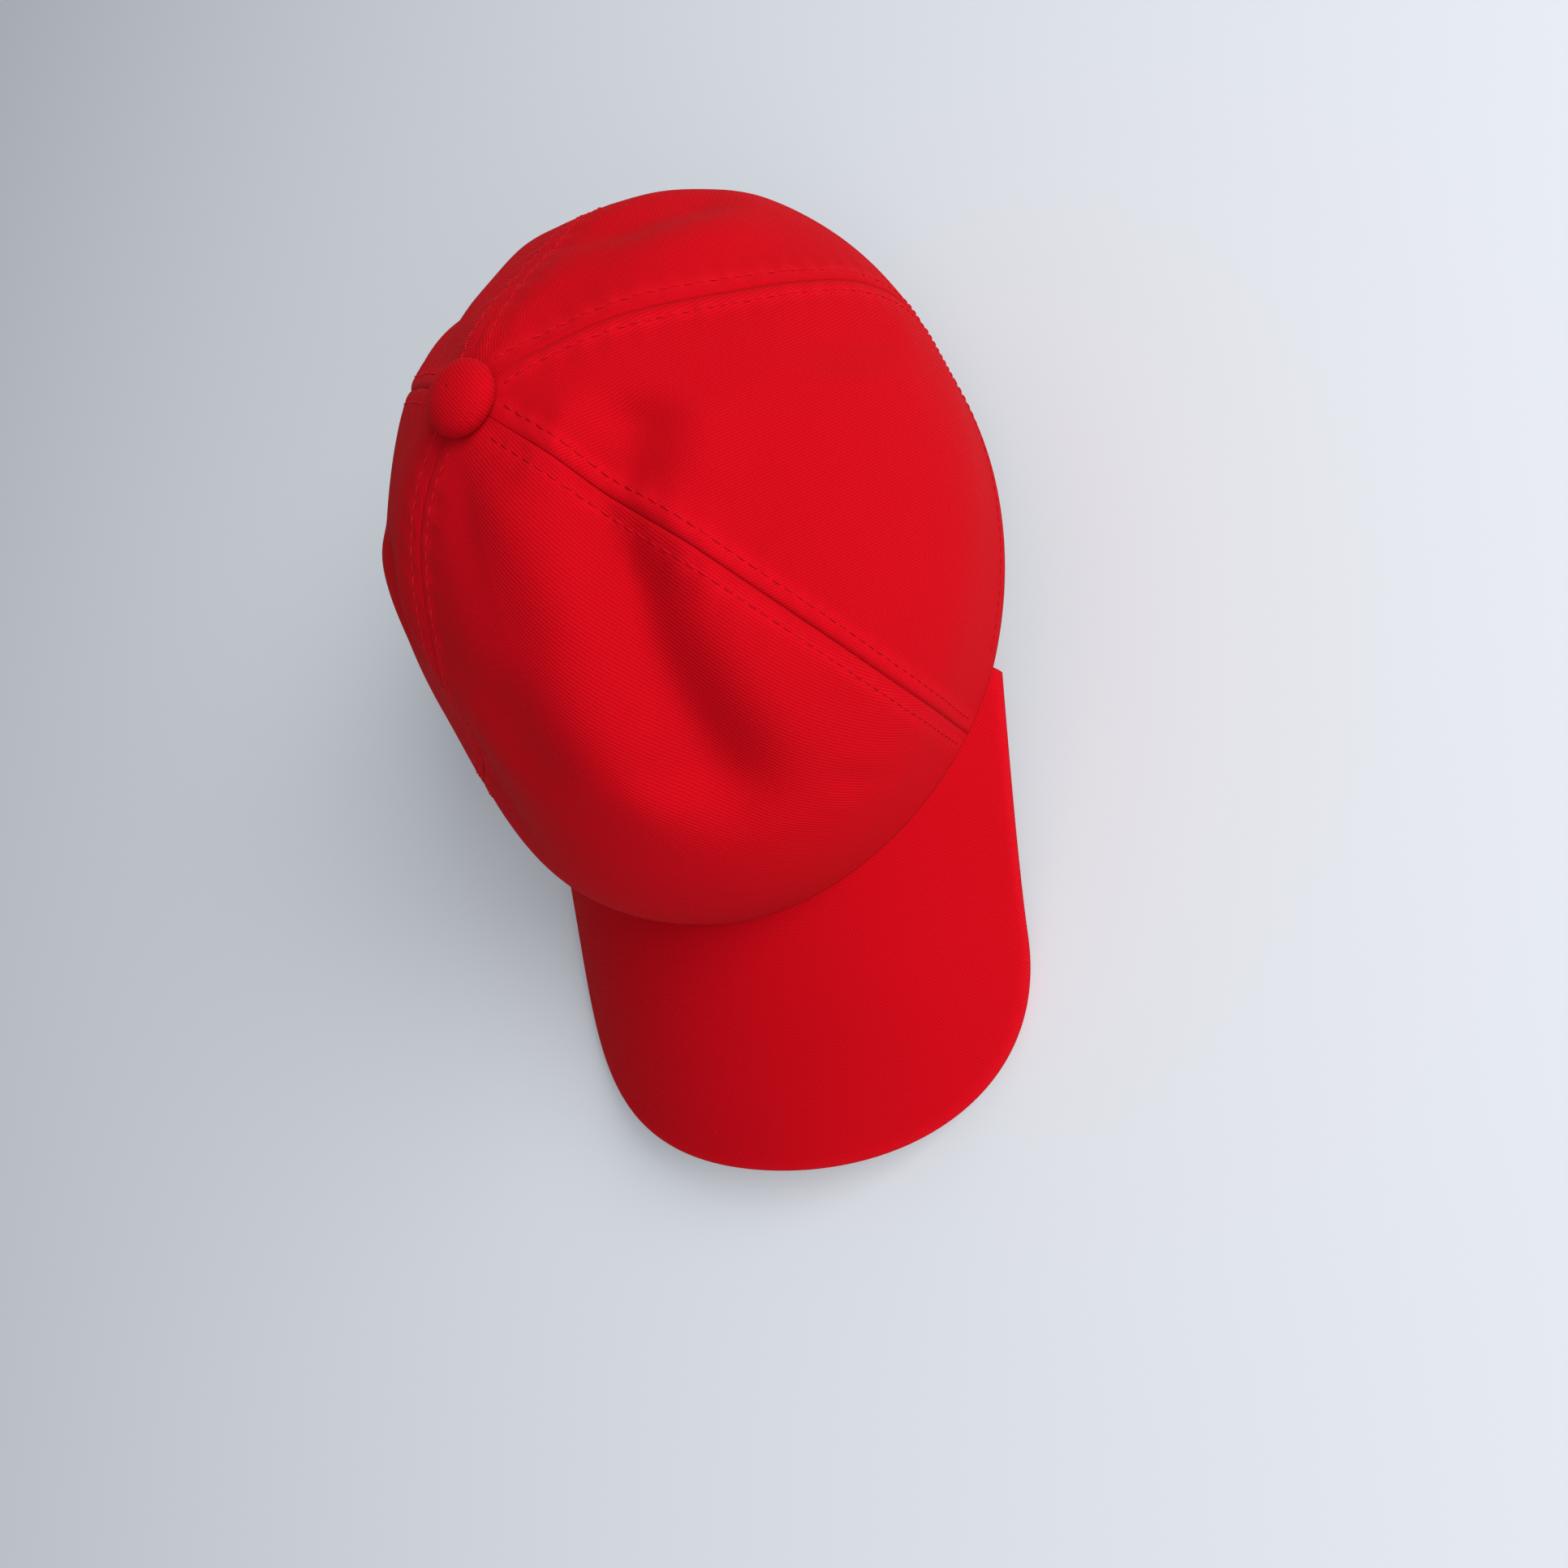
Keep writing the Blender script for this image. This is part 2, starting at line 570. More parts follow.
def make_sweatband():
    """The section carried round the front from one side of the opening to the other.

    The two ends are closed by a ladder of quads between the section's rising and falling rows.
    """
    count = 361
    share = np.linspace(-1, 1, count)
    nominal = share * (ARCH_TURN - 0.03)
    inset, height = band_section(nominal)
    radius = np.interp(way_up(np.maximum(height, 0)), ARC_LINE, RADIUS_LINE)
    margin = 2 * MM
    up_the_arch = np.clip(height / (ARCH_HEIGHT + margin), 0, 0.98)
    reach = (ARCH_HALF_WIDTH + margin) * np.sqrt(1 - up_the_arch**2)
    end = math.pi - np.arcsin(reach / (radius * (HALF_WIDTH - inset)))
    theta = share * end
    wave = 0.18 * MM * np.sin(11 * theta + 0.6) * smoothstep(height, 12 * MM, 34 * MM)
    seam_line = 0.3 * MM * bump(height - 5 * MM, 0.8 * MM)
    on_face = inset > BAND_INSET + 0.9 * BAND_THICK
    points = wall_place(theta, height, inset + wave - seam_line * on_face)
    up, down = np.arange(3, 21), np.arange(39, 21, -1)
    ladder = np.stack([up[:-1], up[1:], down[1:], down[:-1]], -1).tolist()
    end_face = ladder + [[20, 21, 22], [0, 1, 2, 3, 39, 40, 41]]
    caps = [[row * count for row in face] for face in end_face]
    caps += [[row * count + count - 1 for row in face[::-1]] for face in end_face]
    faces = tube_faces(len(points), count) + caps
    uv = np.stack([theta * HALF_LENGTH, height], -1)
    piece = outward(new_piece("sweatband_cloth", points, faces, uv))
    return cap_cloth_piece(piece, "sweatband")


sweatband = make_sweatband()
print("sweatband", len(sweatband.data.polygons), "faces")

# %% [markdown]
# ## Visor
# The visor is a stiff board between two cloths that meet in a turned edge. Both cloths lie on one
# tilted round surface. From the crown they run straight out to the outline, and over the last
# two millimetres they roll round the board's edge until they meet.

# %% Visor outline
def bezier(points, t):
    """Point on a Bezier curve of two or three handles, by repeated blending."""
    layers = [np.asarray(p, float)[None, :] for p in points]
    t = t[:, None]
    while len(layers) > 1:
        layers = [a * (1 - t) + b * t for a, b in zip(layers[:-1], layers[1:])]
    return layers[0]


def visor_outline(count):
    """Right half of the plan outline from the front middle to the visor's end, evenly spaced."""
    nose_y = -HALF_LENGTH - VISOR_LENGTH
    end_x = HALF_WIDTH * math.sqrt(1 - (VISOR_REAR_Y / HALF_LENGTH) ** 2) + 1.5 * MM
    t = np.linspace(0, 1, 200)
    turn = (VISOR_HALF_WIDTH, VISOR_TURN_Y)
    nose = bezier([(0, nose_y), (NOSE_REACH, nose_y), (turn[0], turn[1] - SIDE_REACH), turn], t)
    side = bezier([turn, (turn[0], turn[1] + SIDE_REACH / 2), (end_x, VISOR_REAR_Y)], t)
    line = np.concatenate([nose, side[1:]])
    along = running_length(line)
    even = np.linspace(0, along[-1], count)
    return np.stack([np.interp(even, along, line[:, k]) for k in range(2)], -1)


def visor_skin(name, node, upper, half_count=110, flat_rows=62, roll_rows=9, cloth=0.7 * MM):
    """One of the visor's cloths as a closed shell, upper or under."""
    half = visor_outline(half_count)
    line = np.concatenate([half[:0:-1] * [-1, 1], half])
    side = np.linspace(-REAR_TURN, REAR_TURN, 2 * half_count - 1)
    inner = np.stack(oval(side, BAND_INSET - 0.05 * MM), -1)
    length = np.linalg.norm(inner - line, axis=1)
    edge = VISOR_THICK / 2
    toward = (inner - line) / length[:, None]
    flat = np.linspace(1, 0, flat_rows, endpoint=False)[:, None] * (length - edge) + edge
    roll = np.linspace(0, math.pi / 2 - 0.02, roll_rows)[:, None]

    def layer(skin):
        reach = edge - (edge - skin) * np.sin(roll) + 0 * length
        inward = np.concatenate([flat, reach])
        rolled = edge - (edge - skin) * np.cos(roll) + 0 * length
        depth = np.concatenate([np.full_like(flat, skin), rolled])
        plan = line + toward * inward[..., None]
        x, y = plan[..., 0], plan[..., 1]
        settle = 0.35 * MM * np.sin(x / (31 * MM) + 0.8) * np.sin(y / (27 * MM))
        settle = settle * smoothstep(inward, 0, 12 * MM)
        settle = settle * smoothstep(length - inward, 4 * MM, 16 * MM)
        if not upper:
            depth = VISOR_THICK - depth
            settle = 0.3 * settle
        return np.stack([x, y, visor_height(x, y, depth) + settle], -1), inward

    outer, inward = layer(0.0)
    inside, _ = layer(cloth)
    uv = np.stack([outer[..., 0], outer[..., 1]], -1)
    marks = {"edge": bump(inward, 2.2 * MM)}
    piece = cap_cloth_piece(shell(name, outer, inside, uv, marks), node)
    mesh_area(piece) / 2
    return piece


visor_top = visor_skin("visor_top_skin", "visor_top_cloth", True)
visor_under = visor_skin("visor_under_skin", "visor_under_cloth", False)
print("visor cloths", len(visor_top.data.polygons) * 2, "faces")

# %% [markdown]
# ## Strap
# The strap is one webbing band on an arc behind the opening. It slides round that arc, so it rides
# its own body. One closed cross-section is carried round the arc.

# %% Strap
ARC_Y, ARC_RADIUS, STRAP_Z = 31.501 * MM, 71.612 * MM, 13 * MM
STRAP_WIDTH, STRAP_THICK = 20 * MM, 1.5 * MM


def loft(name, section, turns):
    """A closed cross-section (radius, height) carried round the strap's arc, with flat ends."""
    radius, height = section
    count, rows = len(turns), len(radius)
    angle = turns[None, :]
    radius = radius[:, None] + 0 * angle
    height = height[:, None] + 0 * angle
    points = np.stack([radius * np.sin(angle), ARC_Y + radius * np.cos(angle), height], -1)
    first = np.arange(rows) * count
    faces = tube_faces(rows, count) + [first.tolist(), (first + count - 1)[::-1].tolist()]
    uv = np.stack([angle * ARC_RADIUS + 0 * radius, height], -1)
    return outward(new_piece(name, points, faces, uv))


def band_profile(middle, thick, low, high, across=15):
    """Flat band cross-section with round edges and a slightly sunk stitch line near each edge."""
    z = np.linspace(low + thick / 2, high - thick / 2, across)
    gap = np.minimum(z - low, high - z)
    dip = 0.12 * MM * bump(gap - 2.6 * MM, 0.9 * MM)
    turn = np.linspace(0, math.pi, 7)[1:-1]
    top = np.stack([middle + thick / 2 * np.cos(turn), high - thick / 2 + thick / 2 * np.sin(turn)])
    foot = low + thick / 2 - thick / 2 * np.sin(turn)
    low_end = np.stack([middle - thick / 2 * np.cos(turn), foot])
    out = np.stack([middle + thick / 2 - dip, z])
    back = np.stack([middle - thick / 2 + dip, z])[:, ::-1]
    return np.concatenate([out, top, back, low_end], axis=1)


strap_low, strap_high = STRAP_Z - STRAP_WIDTH / 2, STRAP_Z + STRAP_WIDTH / 2
strap_turns = np.radians(np.linspace(-56, 50, 200))
strap_section = band_profile(ARC_RADIUS, STRAP_THICK, strap_low, strap_high)
strap = loft("strap_web", strap_section, strap_turns)
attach(strap, "strap")
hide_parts("strap")
print(f"strap {np.ptp(strap_turns) * ARC_RADIUS / MM:.0f} mm long")


# %% [markdown]
# ## Tab
# A short loop of webbing holds the buckle's bar. The tab is drawn as a line in plan, given a
# thickness, and raised to the strap's width. The line runs flat beside the strap from its sewn
# end and then once round the bar.

# %% Tab
BAR_TURN, BAR_RADIUS = math.radians(26.8), ARC_RADIUS + 3.05 * MM
TAB_END, TAB_LINE = math.radians(44), ARC_RADIUS + 1.62 * MM
TAB_THICK, LOOP_RADIUS = 0.8 * MM, 1.46 * MM


def make_tab():
    """Flat part and loop as one line in plan, thickened to both sides, then raised in z."""
    flat_turn = np.linspace(TAB_END, BAR_TURN + 0.002, 30)
    flat = np.stack([TAB_LINE * np.sin(flat_turn), TAB_LINE * np.cos(flat_turn)], -1)
    out = np.array([math.sin(BAR_TURN), math.cos(BAR_TURN)])
    along = np.array([out[1], -out[0]])
    swing = np.radians(np.linspace(-92, -334, 34))[:, None]
    loop = BAR_RADIUS * out + LOOP_RADIUS * (np.cos(swing) * along + np.sin(swing) * out)
    line = np.concatenate([flat, loop])
    step = np.gradient(line, axis=0)
    side = np.stack([step[:, 1], -step[:, 0]], -1) / np.linalg.norm(step, axis=1, keepdims=True)
    height = np.linspace(strap_low, strap_high, 13)
    side_line = side[:, None, :] * TAB_THICK / 2 + 0 * height[None, :, None]
    middle = line[:, None, :] + 0 * height[None, :, None]
    rise = np.broadcast_to(height, middle.shape[:2])[..., None]
    shift = np.array([0, ARC_Y])
    outer = np.concatenate([middle + side_line + shift, rise], -1)
    inner = np.concatenate([middle - side_line + shift, rise], -1)
    uv = np.stack([np.broadcast_to(running_length(line)[:, None], rise.shape[:2]), rise[..., 0]], -1)
    return cap_cloth_piece(shell("tab_loop", outer, inner, uv), "buckle_tab")


tab = make_tab()
print("tab", len(tab.data.polygons), "faces")

# %% [markdown]
# ## Button
# A disc of the cap's cloth is drawn over a metal shell. The profile below is the dome from its
# crest to the turned-under hem, out and back along the inside, spun round the upright axis. Its
# small radial gathers are deepest at the edge, where the disc has the most cloth to lose.

# %% Button cover
BUTTON_RADIUS, BUTTON_HEIGHT, BUTTON_CLOTH, BUTTON_MOUTH = 8.8 * MM, 6.5 * MM, 0.8 * MM, 5.0 * MM


def button_profile(inset):
    """Radius and height from the crest down over the shoulder and in to the mouth."""
    radius = BUTTON_RADIUS - inset
    base = CROWN_TOP + 0.05 * MM + inset
    waist = CROWN_TOP + 0.05 * MM + 0.3 * BUTTON_HEIGHT
    rise = 0.7 * BUTTON_HEIGHT - inset
    t = np.linspace(0, 1, 22)
    crest = waist + rise
    shoulder = [(radius, waist), (radius, waist + 0.55 * rise)]
    shoulder += [(0.55 * radius, crest), (0.12 * MM, crest)]
    dome = bezier(shoulder, t)[::-1]
    hem = bezier([(radius, waist), (radius, base), (0.8 * radius, base)], np.linspace(0, 1, 10)[1:])
    floor = np.stack([np.linspace(0.8 * radius, BUTTON_MOUTH, 6)[1:], np.full(5, base)], -1)
    return np.concatenate([dome, hem, floor])


def spin(profile, turns, lift=0.0):
    """A profile turned about the upright axis."""
    radius, height = profile[:, 0][:, None], profile[:, 1][:, None] + lift
    return np.stack([radius * np.cos(turns), radius * np.sin(turns), height + 0 * turns], -1)


def make_button():
    """Outer and inner profile spun into a closed shell of revolution."""
    turns = np.linspace(0, 2 * math.pi, 97)[:-1]
    outside, inside = button_profile(0.0), button_profile(BUTTON_CLOTH)
    share = np.linspace(0, 1, len(outside))[:, None]
    gather = 0.07 * MM * np.sin(34 * turns + 2 * np.sin(3 * turns)) * bump(share - 0.55, 0.16)
    outer = spin(outside, turns)
    outer[..., :2] *= 1 + gather[..., None] / np.maximum(outside[:, 0][:, None, None], 1 * MM)
    inner = spin(inside, turns)
    rings = np.concatenate([outer, inner[::-1]])
    rows, count = rings.shape[:2]
    corner = np.arange(rows)[:, None] * count
    here, there = np.arange(count), (np.arange(count) + 1) % count
    after = (np.arange(rows)[:, None] + 1) % rows * count
    faces = np.stack([corner + here, corner + there, after + there, after + here], -1)
    faces = faces.reshape(-1, 4).tolist()
    piece = outward(new_piece("button_cloth_cover", rings, faces, rings[..., :2]))
    return cap_cloth_piece(piece, "button_cover")


button = make_button()
print("button cover", len(button.data.polygons), "faces")

# %% [markdown]
# ## Topstitching
# Twin rows hold the seam allowances flat, one row closes the rim and one the back opening. Each
# stitch is a small rounded bar laid between two needle holes, its ends sunk into the cloth. All
# the stitches of a row are one mesh, worked out as whole arrays.

# %% Stitches
STITCH_PITCH, STITCH_LENGTH, THREAD = 3.2 * MM, 2.5 * MM, 0.20 * MM
RIM_ROW, ARCH_ROW, STRAP_ROW, ABOVE_CLOTH = 4.6 * MM, 5.2 * MM, 2.6 * MM, 0.12 * MM


def stitches(name, first, last, normal, body="cap"):
    """Small bars from `first` to `last`, six-sided, arched a little, pointed into the cloth."""
    along = last - first
    length = np.linalg.norm(along, axis=1, keepdims=True)
    along = along / length
    side = np.cross(normal, along)
    side /= np.linalg.norm(side, axis=1, keepdims=True)
    up = np.cross(along, side)
    place = np.array([0.0, 0.12, 0.5, 0.88, 1.0])
    girth = np.array([0.35, 0.9, 1.0, 0.9, 0.35])
    lift = np.array([-1.2, -0.1, 0.35, -0.1, -1.2]) * THREAD
    turn = np.linspace(0, 2 * math.pi, 7)[:-1]
    ring = side[:, None, None] * np.cos(turn)[:, None] + up[:, None, None] * np.sin(turn)[:, None]
    middle = first[:, None] + along[:, None] * (length * place)[..., None] + up[:, None] * lift[:, None]
    points = middle[:, :, None] + ring * (girth * THREAD)[:, None, None]
    count = len(first)
    start = (np.arange(count) * 30)[:, None, None]
    here = np.arange(4)[:, None] * 6 + np.arange(6)
    after = np.arange(4)[:, None] * 6 + (np.arange(6) + 1) % 6
    walls = [start + here, start + after, start + after + 6, start + here + 6]
    walls = np.stack(walls, -1).reshape(-1, 4)
    head = start[:, :, 0] + np.array([5, 4, 3, 2, 1, 0])
    tail = start[:, :, 0] + 24 + np.arange(6)
    faces = walls.tolist() + head.tolist() + tail.tolist()
    piece = outward(new_piece(name, points, faces))
    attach(piece, body)
    return piece


def row_on_crown(name, theta_of, way_of, low, high):
    """Stitches along a line on the crown given by turn and way as functions of its length."""
    middle = np.arange(low + STITCH_LENGTH, high - STITCH_LENGTH, STITCH_PITCH)
    first, last = middle - STITCH_LENGTH / 2, middle + STITCH_LENGTH / 2
    a, normal, _ = crown_point(theta_of(first), way_of(first), 0.0, ABOVE_CLOTH)
    b, _, _ = crown_point(theta_of(last), way_of(last), 0.0, ABOVE_CLOTH)
    return stitches(name, a, b, normal)


def seam_row(name, seam, side, low):
    """A row beside a seam, at a set distance from it, from the rim or arch up to the button."""
    def turn(way):
        _, _, stretch = crown_base(np.full_like(way, seam), way)
        return seam + side * SEAM_ROW / np.maximum(stretch, SEAM_ROW)
    return row_on_crown(name, turn, lambda way: way, low, ARC - 8.5 * MM)


rows = []
for number, seam in enumerate(SEAMS):
    low = float(way_up(ARCH_HEIGHT)) if seam == math.pi else float(way_up(rim_height(seam)))
    for side in (-1, 1):
        rows.append(seam_row(f"stitch_seam_{number}_{'ab'[side > 0]}", seam, side, low + 3 * MM))

PERIMETER_TURN = np.linspace(REAR_TURN + 0.02, ARCH_TURN - 0.02, 300)
rim_length = running_length(np.stack(oval(PERIMETER_TURN), -1))


def rim_row(label, side):
    """One row just above the rim, from the visor's end to the opening."""
    def turn(s):
        return side * np.interp(s, rim_length, PERIMETER_TURN)
    return row_on_crown("stitch_rim_" + label, turn, lambda s: 0 * s + RIM_ROW, 0, rim_length[-1])


rows += [rim_row("left", 1), rim_row("right", -1)]

arch_swing = np.linspace(0.09, math.pi - 0.09, 400)
arch_theta, arch_way = arch_line(arch_swing, ARCH_ROW)
arch_place, _, _ = crown_point(arch_theta, arch_way)
arch_length = running_length(arch_place)


def along_arch(values):
    """Turns or ways up of the opening's row as a function of its length."""
    return lambda s: np.interp(s, arch_length, values)


arch_row = row_on_crown("stitch_arch", along_arch(arch_theta), along_arch(arch_way), 0, arch_length[-1])
rows.append(arch_row)


def strap_row(name, z):
    """Stitches along the strap's outer face at one height."""
    middle = np.arange(-54, 20, math.degrees(STITCH_PITCH / ARC_RADIUS))
    half = math.degrees(STITCH_LENGTH / ARC_RADIUS / 2)
    radius = ARC_RADIUS + STRAP_THICK / 2
    ends = [np.radians(middle - half), np.radians(middle + half)]
    places = [np.stack([radius * np.sin(a), ARC_Y + radius * np.cos(a), 0 * a + z], -1) for a in ends]
    normal = np.stack([np.sin(np.radians(middle)), np.cos(np.radians(middle)), 0 * middle], -1)
    return stitches(name, places[0], places[1], normal, "strap")


rows.append(strap_row("stitch_strap_low", strap_low + STRAP_ROW))
rows.append(strap_row("stitch_strap_high", strap_high - STRAP_ROW))
print(len(rows), "rows,", sum(len(r.data.polygons) for r in rows), "faces of thread")

# %% [markdown]
# ## The sweatband's strip
# Before it was sewn in, the band was a straight strip: as long as its line round the oval from one
# side of the opening to the other, and as wide as the band with the foot that is sewn to the rim.

# %% [markdown]
# ## Finishes
# Cotton twill shows fine diagonal ribs and takes light softly, with a faint bloom at glancing
# angles. The weave is one shared node group: ribs from the sine of the two cloth directions, mixed
# with a fine noise, so that it gives a height for the bump and a small change of colour.

# %% Weave node group
def set_inputs(node, values):
    """Sets plain values on a node's inputs, by name."""
    for name, value in values.items():
        node.inputs[name].default_value = value


def new_group(name, inputs, outputs):
    """An empty node group with named sockets, and its input and output nodes."""
    group = bpy.data.node_groups.new(name, "ShaderNodeTree")
    for way, sockets in (("INPUT", inputs), ("OUTPUT", outputs)):
        for label, kind in sockets.items():
            group.interface.new_socket(label, in_out=way, socket_type="NodeSocket" + kind)
    return group, group.nodes.new("NodeGroupInput"), group.nodes.new("NodeGroupOutput")


def maths(tree, kind, *values):
    """Result of a maths node fed with numbers or sockets."""
    node = tree.nodes.new("ShaderNodeMath")
    node.operation = kind
    for socket, value in zip(node.inputs, values):
        if isinstance(value, (int, float)):
            socket.default_value = value
        else:
            tree.links.new(value, socket)
    return node.outputs[0]


def noise(tree, scale, detail, place):
    """A noise over the given place."""
    node = tree.nodes.new("ShaderNodeTexNoise")
    set_inputs(node, {"Scale": scale, "Detail": detail})
    tree.links.new(place, node.inputs["Vector"])
    return node.outputs[0]


def make_weave():
    """Node group: UV in metres and rib width in; height and shade out."""
    group, come, go = new_group(
        "twill_weave", {"Cloth": "Vector", "Rib": "Float"}, {"Height": "Float", "Shade": "Float"}
    )
    cloth, rib = come.outputs["Cloth"], come.outputs["Rib"]

    def do(kind, *values):
        return maths(group, kind, *values)

    split = group.nodes.new("ShaderNodeSeparateXYZ")
    group.links.new(cloth, split.inputs[0])
    u, v = split.outputs[0], split.outputs[1]
    phase = do("DIVIDE", do("ADD", u, do("MULTIPLY", v, 0.72)), rib)
    wander = do("MULTIPLY", noise(group, 260, 3, cloth), 3.0)
    phase = do("ADD", do("MULTIPLY", phase, 2 * math.pi), wander)
    ribs = do("MULTIPLY_ADD", do("SINE", phase), 0.5, 0.5)
    thread = do("SINE", do("DIVIDE", v, do("MULTIPLY", rib, 0.11)))
    slub = noise(group, 1500, 4, cloth)
    height = do("ADD", do("MULTIPLY", ribs, 0.62), do("MULTIPLY", slub, 0.55))
    height = do("ADD", height, do("MULTIPLY", thread, 0.10))
    shade = do("MULTIPLY_ADD", do("SUBTRACT", height, 0.6), 0.42, 1.0)
    group.links.new(height, go.inputs["Height"])
    group.links.new(shade, go.inputs["Shade"])
    return group


WEAVE = make_weave()
print("weave group of", len(WEAVE.nodes), "nodes")

# %% [markdown]
# ## Wear
# Cloth that has been handled is paler along its raised edges and in
# broad soft patches. It reads the `edge` value stored on the pieces.

# %% Wear node group
def make_wear():
    """Node group: stored edge value and a place in; how pale the cloth is out."""
    group, come, go = new_group("soft_wear", {"Edge": "Float", "Place": "Vector"}, {"Pale": "Float"})
    patch = noise(group, 22, 3, come.outputs["Place"])
    grain = noise(group, 380, 4, come.outputs["Place"])
    worn_edge = maths(group, "MULTIPLY", come.outputs["Edge"], grain)
    group.links.new(maths(group, "MULTIPLY_ADD", patch, 0.35, worn_edge), go.inputs["Pale"])
    return group


WEAR = make_wear()
print("wear group of", len(WEAR.nodes), "nodes")

# %% [markdown]
# ## Cloth
# All the cloth is dyed the same red, yet tape, webbing and band are woven more coarsely than the
# twill. One builder makes the four finishes from the two groups, each with its own rib and shade.


# %% Cloth materials
BUMP_DEPTH = 0.00035


def new_finish(name):
    """A new material: itself, its node tree and its shader."""
    material = bpy.data.materials.new(name)
    material.use_nodes = True
    return material, material.node_tree, material.node_tree.nodes["Principled BSDF"]


def cloth_material(name, dark, bright, rib=0.0009, rough=0.9, sheen=0.05, depth=0.35, worn=True):
    """A woven finish: colour between `dark` and `bright` by weave and wear, with a fine bump."""
    material, tree, shader = new_finish(name)
    add, link = tree.nodes.new, tree.links.new
    uv = add("ShaderNodeUVMap")
    uv.uv_map = "cloth"
    weave = add("ShaderNodeGroup")
    weave.node_tree = WEAVE
    weave.inputs["Rib"].default_value = rib
    link(uv.outputs[0], weave.inputs["Cloth"])
    place = add("ShaderNodeTexCoord")
    wear = add("ShaderNodeGroup")
    wear.node_tree = WEAR
    link(place.outputs["Object"], wear.inputs["Place"])
    if worn:
        edge = add("ShaderNodeAttribute")
        edge.attribute_name = "edge"
        link(edge.outputs["Fac"], wear.inputs["Edge"])
    mix = add("ShaderNodeMix")
    mix.data_type = "RGBA"
    mix.inputs[6].default_value = (*dark, 1)
    mix.inputs[7].default_value = (*bright, 1)
    link(wear.outputs["Pale"], mix.inputs[0])
    shade = add("ShaderNodeVectorMath")
    shade.operation = "SCALE"
    link(mix.outputs[2], shade.inputs[0])
    link(weave.outputs["Shade"], shade.inputs["Scale"])
    link(shade.outputs[0], shader.inputs["Base Color"])
    bumps = add("ShaderNodeBump")
    set_inputs(bumps, {"Strength": depth, "Distance": BUMP_DEPTH})
    link(weave.outputs["Height"], bumps.inputs["Height"])
    link(bumps.outputs[0], shader.inputs["Normal"])
    set_inputs(shader, {
        "Roughness": rough, "Specular IOR Level": 0.04,
        "Sheen Weight": sheen, "Sheen Roughness": 0.45, "Sheen Tint": (1.0, 0.12, 0.10, 1),
    })
    return material


RED_DARK, RED_BRIGHT = (0.43, 0.0012, 0.0055), (0.56, 0.0022, 0.009)
red_twill = cloth_material("red_twill", RED_DARK, RED_BRIGHT)
red_tape = cloth_material("red_tape", (0.36, 0.001, 0.005), (0.46, 0.002, 0.007), rib=0.0016)
red_web = cloth_material("red_web", (0.40, 0.001, 0.005), (0.52, 0.002, 0.008), rib=0.0012, worn=False)
band_cotton = cloth_material("band_cotton", (0.40, 0.001, 0.006), (0.50, 0.002, 0.008), rib=0.0011)
for cloth in (red_twill, red_tape, red_web, band_cotton):
    print(cloth.name, "of", len(cloth.node_tree.nodes), "nodes")

# %% [markdown]
# ## Thread and metal
# Polyester thread has a slight shine. The buckle and the button's shell are plated steel, brushed
# by handling, so their roughness varies with a fine noise.

# %% Thread and metal materials
def plain_material(name, colour, rough, metal=0.0, grain=None):
    """One colour, with the roughness varied by a noise when `grain` is given."""
    material, tree, shader = new_finish(name)
    set_inputs(shader, {"Base Color": (*colour, 1), "Metallic": metal, "Roughness": rough})
    if grain:
        place = tree.nodes.new("ShaderNodeTexCoord").outputs["Object"]
        span = tree.nodes.new("ShaderNodeMapRange")
        set_inputs(span, {"To Min": rough * 0.7, "To Max": min(rough * 1.35, 1)})
        tree.links.new(noise(tree, grain, 5, place), span.inputs["Value"])
        tree.links.new(span.outputs[0], shader.inputs["Roughness"])
    return material


red_thread = plain_material("red_thread", (0.48, 0.0015, 0.007), 0.6)
set_inputs(red_thread.node_tree.nodes["Principled BSDF"], {"Specular IOR Level": 0.08})
plated_steel = plain_material("plated_steel", (0.62, 0.62, 0.63), 0.32, 1.0, 900)
button_steel = plain_material("button_steel", (0.50, 0.50, 0.51), 0.42, 1.0, 900)
board_grey = plain_material("board_grey", (0.55, 0.53, 0.49), 0.8, 0.0, 200)


def wear_finish(piece, material):
    """Gives a piece its one finish."""
    if piece.data.materials:
        piece.data.materials[0] = material
    else:
        piece.data.materials.append(material)


for piece in (*crown_panels, visor_top, visor_under, button):
    wear_finish(piece, red_twill)
for piece in (*tapes, binding):
    wear_finish(piece, red_tape)
for piece in (strap, tab):
    wear_finish(piece, red_web)
wear_finish(sweatband, band_cotton)
for piece in rows:
    wear_finish(piece, red_thread)
for node in ("buckle_frame", "buckle_pin", "buckle_clamp"):
    wear_finish(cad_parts[node], plated_steel)
for node in ("button_shell", "button_post", "button_washer"):
    wear_finish(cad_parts[node], button_steel)
wear_finish(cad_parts["visor_board"], board_grey)
print(len(bpy.data.materials), "materials")

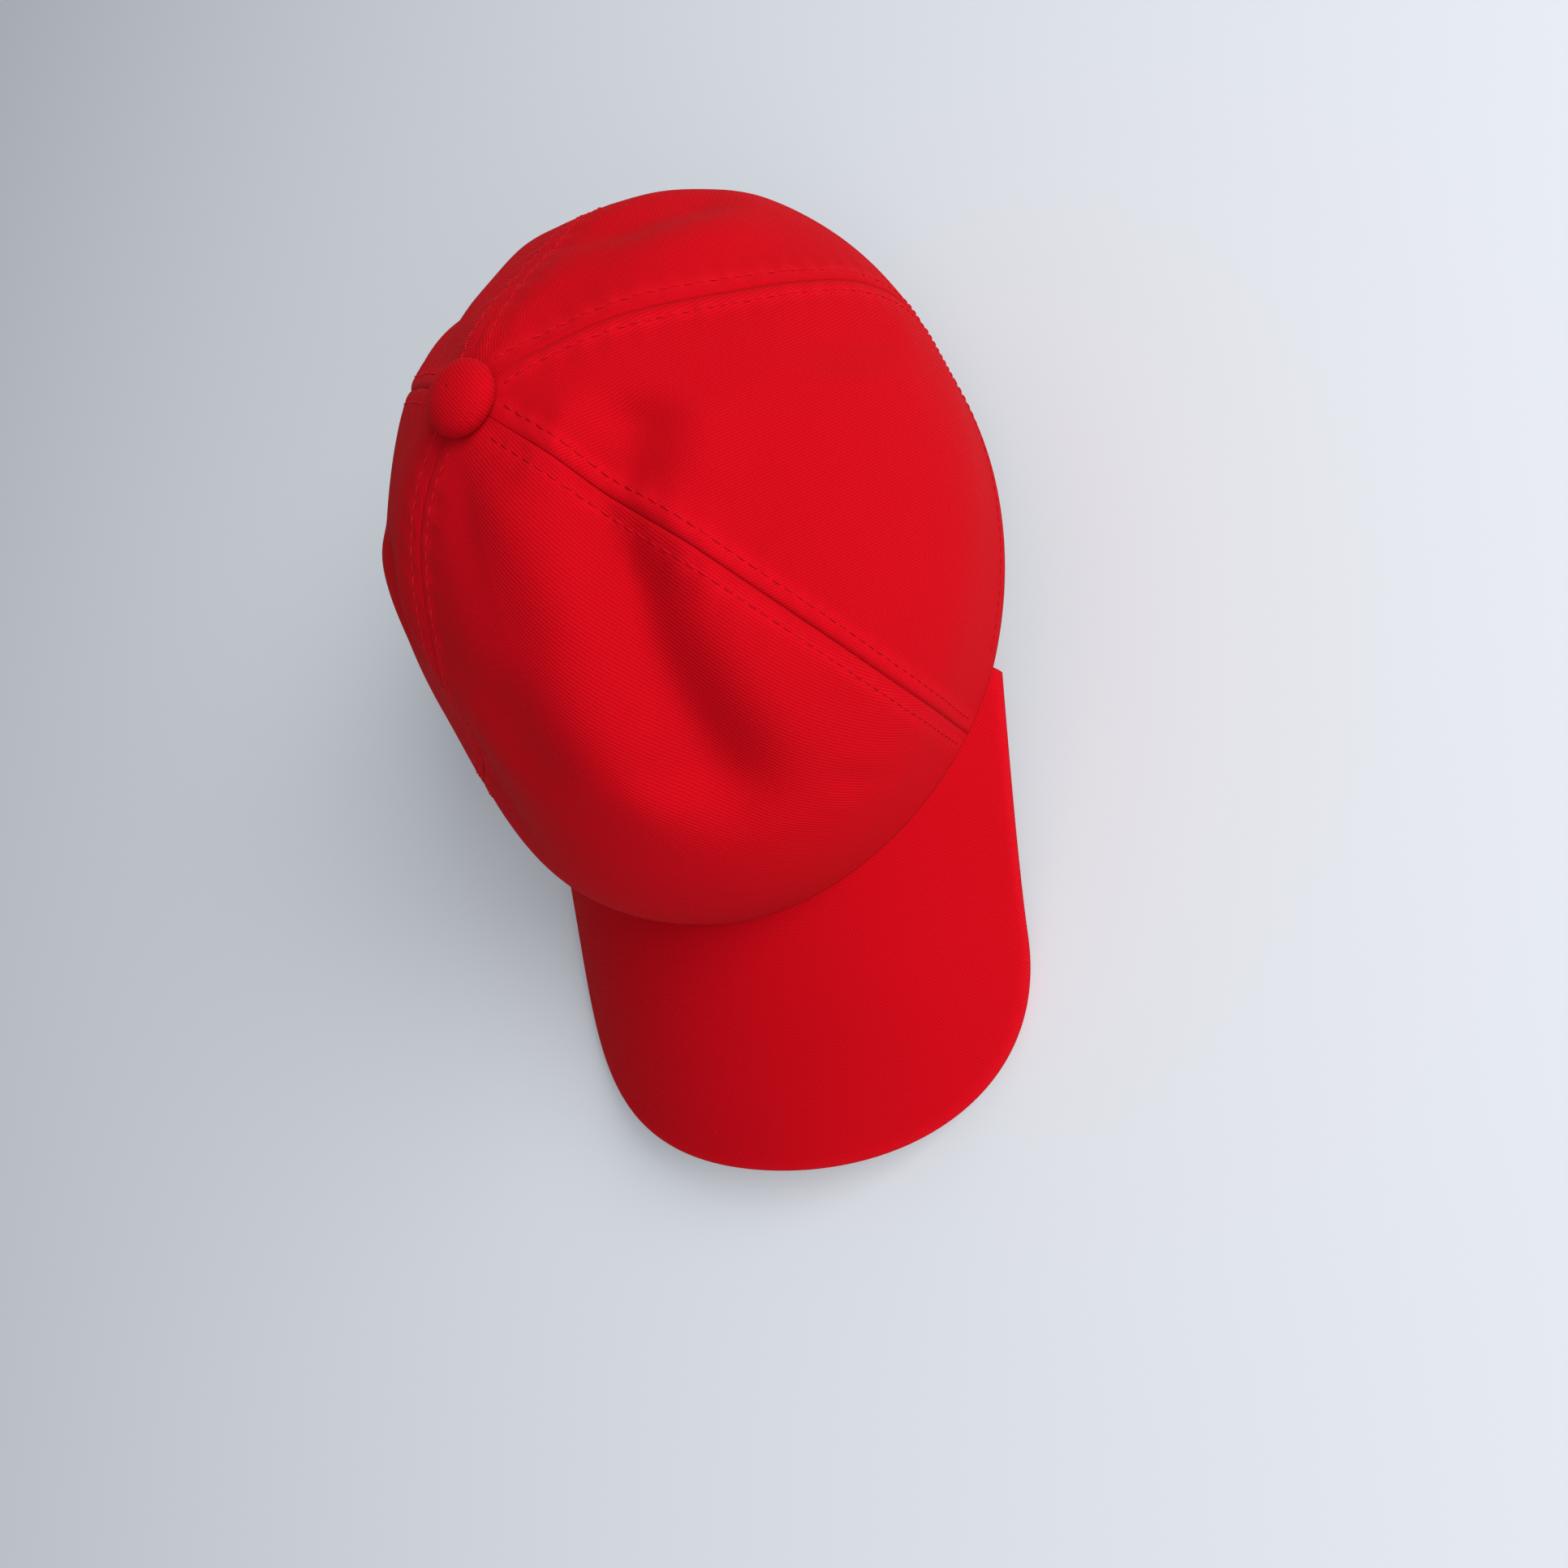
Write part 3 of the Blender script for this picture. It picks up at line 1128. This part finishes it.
# %% [markdown]
# ## Floor, light and camera
# The cap rests on a pale plain floor. One broad lamp stands high on the wearer's left, and a
# weaker one fills from in front, so the panels on the far side fall into a darker red.

# %% Stage
low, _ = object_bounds()
bpy.ops.mesh.primitive_plane_add(size=40, location=(0, 0, low.z - 0.0004))
floor = bpy.context.active_object
floor.name = "floor"
wear_finish(floor, plain_material("pale_floor", (0.66, 0.69, 0.715), 0.9))

AZIMUTH, ELEVATION, ROLL = math.radians(65.0), math.radians(61.4), math.radians(-69.6)
AIM, DISTANCE = Vector((0.0335, -0.0747, 0.0411)), 0.25
camera_data = bpy.data.cameras.new("camera")
camera_data.lens, camera_data.sensor_width = 22.1, 36
camera_data.clip_start = 0.01
camera = bpy.data.objects.new("camera", camera_data)
bpy.context.scene.collection.objects.link(camera)
around = Matrix.Rotation(AZIMUTH, 4, "Z")
over = Matrix.Rotation(math.pi / 2 - ELEVATION, 4, "X")
back_off = Matrix.Translation((0, 0, DISTANCE))
camera.matrix_world = Matrix.Translation(AIM) @ around @ over @ Matrix.Rotation(ROLL, 4, "Z") @ back_off
bpy.context.scene.camera = camera


def area_lamp(name, place, size, watts, colour=(1, 1, 1)):
    """A square lamp that looks at the crown."""
    data = bpy.data.lights.new(name, "AREA")
    data.size, data.energy, data.color = size, watts, colour
    lamp = bpy.data.objects.new(name, data)
    bpy.context.scene.collection.objects.link(lamp)
    lamp.location = place
    to_crown = Vector((0, 0, 0.06)) - Vector(place)
    lamp.rotation_euler = to_crown.to_track_quat("-Z", "Y").to_euler()


area_lamp("key", (1.25, 0.30, 0.95), 1.1, 24)
area_lamp("fill", (0.75, -0.85, 0.95), 1.2, 10, (0.97, 0.98, 1))
world = bpy.data.worlds.new("room")
world.use_nodes = True
world.node_tree.nodes["Background"].inputs[0].default_value = (0.86, 0.91, 1.0, 1)
world.node_tree.nodes["Background"].inputs[1].default_value = 0.34
bpy.context.scene.world = world
bpy.context.scene.view_settings.view_transform = "Standard"
print("camera at, mm:", np.round(np.array(camera.matrix_world.translation) * 1000, 1).tolist())
